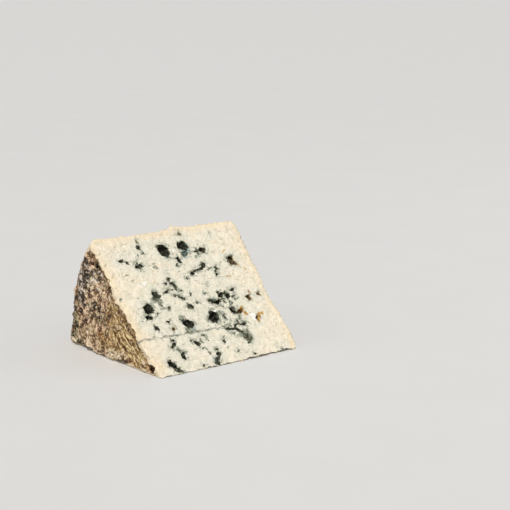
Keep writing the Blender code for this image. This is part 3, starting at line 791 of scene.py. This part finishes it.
def rind_colour(paint):
    """Dry natural rind: each zone runs from painted shade in the crevices to painted light on the crag peaks,
    mixed with noise mottle, with flecks over all.
    """
    # Painted shade and light: low points of the crags take each zone's dark tone, high points its light tone.
    painted_crag_shading = paint.ease(paint.layer("crags"), -0.75, 0.65)
    speckle = paint.ease(paint.noise(1.1, 3.0), 0.38, 0.62)
    streaks = paint.ease(paint.noise(1.1, 3.0, stretch=7.0, turn=WEDGE_ANGLE), 0.38, 0.62)
    broad = paint.times(paint.ease(paint.noise(4.5, 2.0), 0.38, 0.62), 0.36)
    # The mottle and streak values carry this painted shade and light along with the noise.
    mottled = paint.plus(broad, paint.plus(paint.times(painted_crag_shading, 0.46), paint.times(speckle, 0.34)))
    streaked = paint.plus(paint.times(mottled, 0.65), paint.times(streaks, 0.42))
    calm = paint.layer("calm")
    lively = paint.calculate("SUBTRACT", 1.0, calm)
    streaked = paint.plus(paint.times(paint.ease(streaked, 0.26, 0.92), lively), paint.times(calm, 0.38))
    mottled = paint.plus(paint.times(paint.ease(mottled, 0.22, 0.94), lively), paint.times(calm, 0.42))
    pinkish = paint.three(mottled, colour(58, 36, 22), colour(146, 107, 74), colour(240, 210, 174))
    zones = {
        "rind_ochre": (streaked, colour(90, 60, 24), colour(164, 128, 76), colour(238, 214, 160)),
        "rind_rust": (mottled, colour(56, 30, 12), colour(136, 96, 52), colour(224, 186, 130)),
        "rind_grey": (mottled, colour(44, 36, 28), colour(130, 112, 94), colour(236, 224, 208)),
        "rind_dark_and_pit_shade": (mottled, colour(20, 16, 9), colour(80, 66, 42), colour(186, 168, 128)),
        "rind_pale_and_highlight": (mottled, colour(96, 68, 42), colour(190, 157, 118), colour(242, 222, 192)),
    }
    painted = pinkish
    for name, (value, dark, middle, light) in zones.items():
        zone = paint.ease(paint.plus(paint.layer(name), paint.times(speckle, 0.25)), 0.25, 0.85)
        painted = paint.mix(zone, painted, paint.three(value, dark, middle, light))
    painted = paint.mix(paint.times(paint.layer("rind_edge"), 0.55), painted, colour(104, 78, 40))
    dark_flecks = paint.times(paint.ease(paint.noise(1.5, 3.0), 0.57, 0.65), lively)
    painted = paint.mix(paint.times(dark_flecks, 0.62), painted, colour(54, 38, 22))
    pale_flecks = paint.times(paint.ease(paint.noise(1.2, 3.0, stretch=1.2), 0.58, 0.66), lively)
    return paint.mix(paint.times(pale_flecks, 0.62), painted, colour(240, 226, 196))


def cheese_material():
    """The wedge's material: paste, stains, mould and rind over one another, with a moist or a dry finish."""
    paint = Paint("cheese_paste_and_rind")
    ragged = paint.times(paint.noise(0.8, 3.0), 0.5)
    beside = paint.plus(paint.layer("from_mould"), paint.times(paint.noise(1.3, 3.0), 2.4))
    spread = paint.times(paint.ease(beside, 1.35, 0.85), 0.9)
    grown = paint.ease(paint.plus(paint.layer("mould"), ragged), 0.50, 0.85)
    mouldy = paint.calculate("MAXIMUM", grown, spread)
    rindy = paint.ease(paint.plus(paint.layer("rind"), ragged), 0.55, 0.95)
    cut = paint.mix(mouldy, stained_paste(paint), mould_colour(paint))
    paint.feed(paint.shader.inputs["Base Color"], paint.mix(rindy, cut, rind_colour(paint)))
    dry = paint.plus(0.46, paint.times(paint.calculate("MAXIMUM", mouldy, rindy), 0.36))
    paint.feed(paint.shader.inputs["Roughness"], dry)
    paint.shader.inputs["Specular IOR Level"].default_value = 0.42
    paint.shader.inputs["Subsurface Weight"].default_value = 0.10
    paint.shader.inputs["Subsurface Radius"].default_value = (1.0, 0.72, 0.42)
    paint.shader.inputs["Subsurface Scale"].default_value = 1.2 * MM
    grain = paint.plus(paint.noise(0.5, 3.0), paint.times(paint.noise(1.6, 4.0), 1.5))
    paint.feed(paint.shader.inputs["Normal"], paint.bump(grain, 0.22, 1.0))
    return paint.material


def crumb_mesh(bm, place, sizes, number):
    """Adds one lumpy crumb to a mesh."""
    made = bmesh.ops.create_icosphere(bm, subdivisions=2, radius=1)["verts"]
    offset = Vector((5.3 * number, 2.9 * number, 0))
    turn = Matrix.Rotation(1.7 * number, 3, Vector((0.4, 0.7, 0.6)).normalized())
    for vert in made:
        lump = 1 + 0.55 * noise.noise(vert.co * 1.3 + offset) + 0.35 * noise.noise(vert.co * 3 + offset)
        vert.co = turn @ Vector(part * size for part, size in zip(vert.co, sizes)) * lump
        vert.co += place


def crumbs(cheese):
    """Crumbs of paste that cling along the foot of the rind, on the ridge, on the cut and at the corners."""
    draw = random.Random(CRUMB_SEED)
    tree = BVHTree.FromObject(cheese, bpy.context.evaluated_depsgraph_get())
    bm = bmesh.new()
    number = 0
    for count, *ranges, size_range in CRUMB_PLACES:
        for _ in range(count):
            start = Vector(draw.uniform(*limits) * MM for limits in ranges)
            spot, normal, _, _ = tree.find_nearest(start)
            sizes = [draw.uniform(*size_range) * MM * draw.uniform(0.6, 1.2) for _ in range(3)]
            centre = spot + normal * min(sizes) * 0.3
            centre.z = max(centre.z, max(sizes))
            crumb_mesh(bm, centre, sizes, number)
            number += 1
    mesh = bpy.data.meshes.new("crumbs")
    bm.to_mesh(mesh)
    bm.free()
    mesh.shade_smooth()
    piece = bpy.data.objects.new("crumbs", mesh)
    bpy.context.scene.collection.objects.link(piece)
    return piece


def crumb_material():
    paint = Paint("crumb_paste")
    tone = paint.mix(paint.ease(paint.noise(1.6), 0.35, 0.65), colour(240, 228, 202), colour(220, 202, 162))
    paint.feed(paint.shader.inputs["Base Color"], tone)
    paint.feed(paint.shader.inputs["Normal"], paint.bump(paint.noise(0.4), 0.1, 0.8))
    paint.shader.inputs["Roughness"].default_value = 0.6
    return paint.material


def floor():
    """A pale, plain floor under and behind the wedge."""
    mesh = bpy.data.meshes.new("floor")
    bm = bmesh.new()
    bmesh.ops.create_grid(bm, x_segments=8, y_segments=8, size=FLOOR_SIZE)
    bm.to_mesh(mesh)
    bm.free()
    piece = bpy.data.objects.new("floor", mesh)
    bpy.context.scene.collection.objects.link(piece)
    paint = Paint("pale_floor")
    tone = paint.mix(paint.noise(60.0), colour(222, 221, 219), colour(217, 216, 214))
    paint.feed(paint.shader.inputs["Base Color"], tone)
    paint.shader.inputs["Roughness"].default_value = 0.7
    mesh.materials.append(paint.material)
    return piece


def aimed(name, data, light):
    """A light of a strength and colour at a place, turned towards the wedge."""
    data.energy, data.color, place = light
    piece = bpy.data.objects.new(name, data)
    piece.location = place
    piece.rotation_euler = (Vector(LIT_PLACE) - Vector(place)).to_track_quat("-Z", "Y").to_euler()
    bpy.context.scene.collection.objects.link(piece)


def key_light():
    """Soft daylight from the upper left, the same all over the floor."""
    data = bpy.data.lights.new("key", "SUN")
    data.angle = KEY_SOFTNESS
    aimed("key", data, KEY_LIGHT)


def fill_light():
    """A weak light from the right front."""
    data = bpy.data.lights.new("fill", "AREA")
    data.size = FILL_SIZE
    aimed("fill", data, FILL_LIGHT)


def surround():
    world = bpy.data.worlds.new("studio")
    world.use_nodes = True
    world.node_tree.nodes["Background"].inputs["Color"].default_value = colour(238, 239, 242)
    world.node_tree.nodes["Background"].inputs["Strength"].default_value = WORLD_STRENGTH
    bpy.context.scene.world = world
    bpy.context.scene.view_settings.view_transform = "Standard"


def camera():
    data = bpy.data.cameras.new("camera")
    data.sensor_width = SENSOR_WIDTH
    data.lens = SENSOR_WIDTH * FOCAL_PIXELS / PHOTO_PIXELS
    data.clip_start = 0.01
    piece = bpy.data.objects.new("camera", data)
    piece.location = CAMERA_PLACE
    piece.rotation_euler = Vector(CAMERA_DIRECTION).to_track_quat("-Z", "Y").to_euler()
    bpy.context.scene.collection.objects.link(piece)
    bpy.context.scene.camera = piece


cheese = fine_copy("cheese")
sculpt(cheese)
thin_out(cheese)
cheese.data.materials.clear()
cheese.data.materials.append(cheese_material())
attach(cheese, "root")
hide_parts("cheese")

loose = crumbs(cheese)
loose.data.materials.append(crumb_material())
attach(loose, "root")

floor()
key_light()
fill_light()
surround()
camera()
